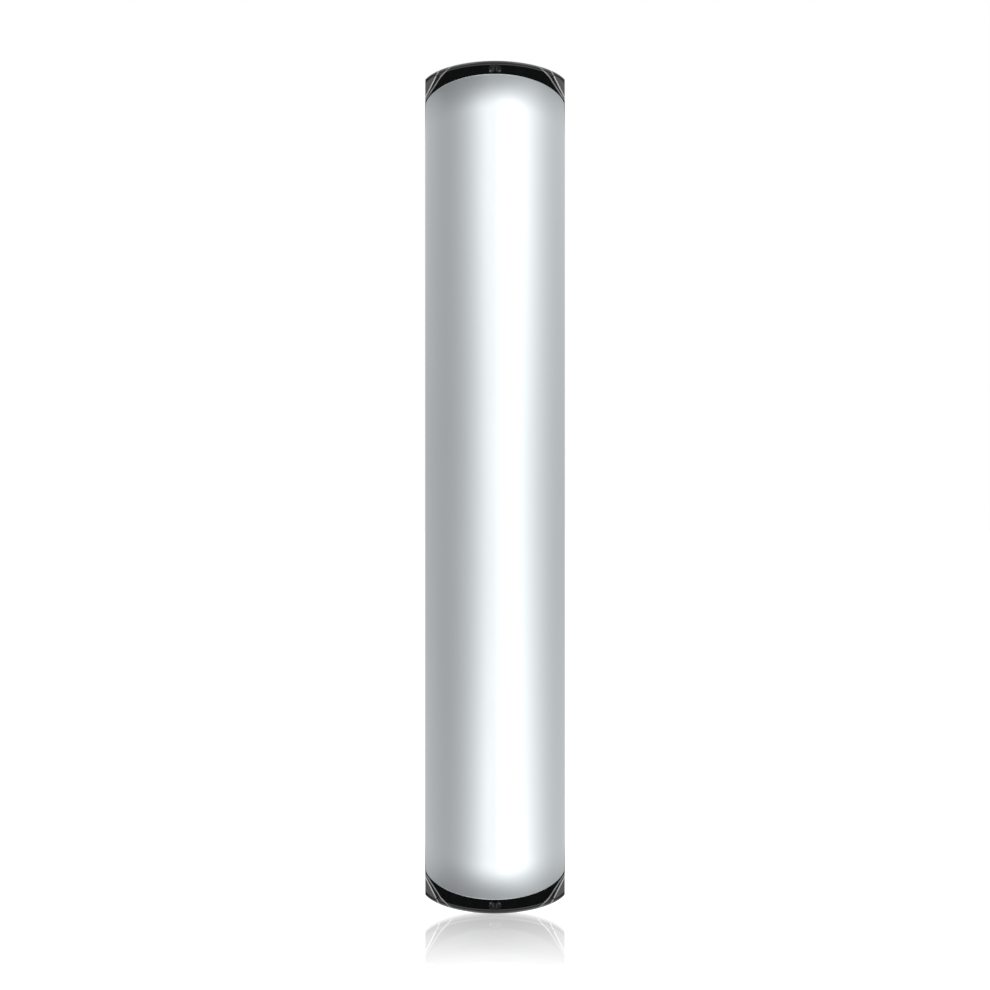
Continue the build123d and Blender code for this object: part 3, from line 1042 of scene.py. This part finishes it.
def floor():
    """Pale glossy floor at the case's lowest point. Its gloss fades out a short way in front of the case."""
    size = FLOOR_HALF_WIDTH
    z = plate_low.z
    mesh = bpy.data.meshes.new("floor")
    corners = [(-size, -size, z), (size, -size, z), (size, size, z), (-size, size, z)]
    mesh.from_pydata(corners, [], [(0, 1, 2, 3)])
    plane = new_object("floor", mesh)
    plane.visible_glossy = False
    plane.visible_diffuse = False
    material = bpy.data.materials.new("floor")
    tree = NodeTree(material)
    output = tree.nodes.new("ShaderNodeOutputMaterial")
    pale = tree.nodes.new("ShaderNodeEmission")
    pale.inputs["Strength"].default_value = FLOOR_GLOW
    gloss = tree.nodes.new("ShaderNodeBsdfGlossy")
    gloss.inputs["Color"].default_value = (FLOOR_GAIN, FLOOR_GAIN, FLOOR_GAIN, 1.0)
    gloss.inputs["Roughness"].default_value = FLOOR_ROUGHNESS
    flat = tree.nodes.new("ShaderNodeVectorMath")
    flat.operation = "MULTIPLY"
    flat.inputs[1].default_value = (1.0, 1.0, 0.0)
    tree.links.new(tree.nodes.new("ShaderNodeTexCoord").outputs["Object"], flat.inputs[0])
    length = tree.nodes.new("ShaderNodeVectorMath")
    length.operation = "LENGTH"
    tree.links.new(flat.outputs["Vector"], length.inputs[0])
    fade = tree.ramp(length.outputs["Value"], 0.0, FLOOR_GLOSS_REACH, FLOOR_GLOSS, 0.0)
    shader = tree.blend(fade, pale.outputs["Emission"], gloss.outputs["BSDF"])
    tree.links.new(shader, output.inputs["Surface"])
    plane.data.materials.append(material)


class Sky(NodeTree):
    """The studio's light as seen in each direction, built from soft lobes."""

    def __init__(self):
        world = bpy.data.worlds.new("studio")
        bpy.context.scene.world = world
        super().__init__(world)
        self.way = self.nodes.new("ShaderNodeTexCoord").outputs["Generated"]

    def along(self, way, direction):
        """How far a direction points along another, -1 to 1."""
        node = self.nodes.new("ShaderNodeVectorMath")
        node.operation = "DOT_PRODUCT"
        self.links.new(way, node.inputs[0])
        node.inputs[1].default_value = direction
        return node.outputs["Value"]

    def lobe(self, azimuth, strength, narrowness):
        """A soft lobe of light centred on an azimuth."""
        turn = math.radians(azimuth)
        facing = self.along(self.way, (math.sin(turn), -math.cos(turn), 0.0))
        share = self.maths("MULTIPLY", self.maths("ADD", facing, 1.0), 0.5)
        return self.maths("MULTIPLY", self.maths("POWER", share, narrowness), strength)

    def folded(self):
        """The direction with its left and lower halves folded onto the right and upper ones."""
        node = self.nodes.new("ShaderNodeVectorMath")
        node.operation = "ABSOLUTE"
        self.links.new(self.way, node.inputs[0])
        return node.outputs["Vector"]

    def background(self, strength=1.0):
        """White light, as strong as a number or a field says."""
        node = self.nodes.new("ShaderNodeBackground")
        node.inputs["Color"].default_value = (1.0, 1.0, 1.0, 1.0)
        if isinstance(strength, float):
            node.inputs["Strength"].default_value = strength
        else:
            self.links.new(strength, node.inputs["Strength"])
        return node.outputs["Background"]


def studio_world():
    """A pale tent, lit from the front right by an upper and a lower panel, with a black flag in front."""
    sky = Sky()
    steepness = sky.maths("ABSOLUTE", sky.along(sky.way, (0.0, 0.0, 1.0)))
    behind = sky.along(sky.way, (0.0, 1.0, 0.0))
    sideways = sky.maths("ABSOLUTE", sky.along(sky.way, (1.0, 0.0, 0.0)))

    above = sky.ramp(steepness, 0.0, PANEL_STEEPNESS)
    key = sky.maths("ADD", sky.lobe(*KEY), sky.maths("MULTIPLY", sky.lobe(*PANELS), above))
    key = sky.maths("MULTIPLY", key, sky.ramp(steepness, SHOULDER_START, KEY_END, 1.0, KEY_AT_ZENITH))

    tent = sky.maths("ADD", TENT, sky.lobe(*BACK_FILL))
    tent_rise = sky.ramp(steepness, 0.0, PANEL_STEEPNESS, 1.0, 1.0 + TENT_RISE)
    tent_fall = sky.ramp(steepness, SHOULDER_START, SHOULDER_END, 0.0, TENT_FALL)
    tent = sky.maths("MULTIPLY", tent, sky.maths("SUBTRACT", tent_rise, tent_fall))

    back_roof = sky.ramp(steepness, *BACK_ROOF_EDGE)
    back_roof = sky.maths("MULTIPLY", back_roof, sky.ramp(behind, *BACK_ROOF_TURN))
    roof = sky.maths("MAXIMUM", sky.ramp(steepness, *ROOF_EDGE), back_roof)
    roof = sky.maths("MULTIPLY", roof, sky.ramp(sideways, *ROOF_GAP_EDGE, ROOF_GAP_LEVEL, 1.0))

    tilt = math.radians(FLAG_ELEVATION)
    into_flag = sky.along(sky.folded(), (0.0, math.cos(tilt), math.sin(tilt)))
    soft_edge, full = [math.cos(math.radians(angle)) for angle in FLAG_RADII]
    flag = sky.ramp(into_flag, soft_edge, full, 0.0, FLAG_DARKNESS)
    flag = sky.maths("MULTIPLY", flag, sky.ramp(behind, *FLAG_TURN, 1.0, 0.0))

    level = sky.maths("ADD", sky.maths("ADD", key, tent), sky.maths("MULTIPLY", roof, ROOF))
    level = sky.maths("MULTIPLY", level, sky.maths("SUBTRACT", 1.0, flag))
    seen = sky.nodes.new("ShaderNodeLightPath").outputs["Is Camera Ray"]
    out = sky.nodes.new("ShaderNodeOutputWorld")
    sky.links.new(sky.blend(seen, sky.background(level), sky.background()), out.inputs["Surface"])


floor()
studio_world()

CAMERA_DISTANCE = 0.290
CAMERA_DROP = 0.00112
FRAME_WIDTH = 0.1424
SENSOR = 36.0
camera_data = bpy.data.cameras.new("camera")
camera_data.sensor_width = SENSOR
camera_data.lens = SENSOR * CAMERA_DISTANCE / FRAME_WIDTH
camera_data.clip_start = 0.01
camera = bpy.data.objects.new("camera", camera_data)
bpy.context.scene.collection.objects.link(camera)
camera.location = (0.0, -CAMERA_DISTANCE, -CAMERA_DROP)
camera.rotation_euler = (math.pi / 2, 0.0, 0.0)
bpy.context.scene.camera = camera
bpy.context.scene.view_settings.view_transform = "Standard"
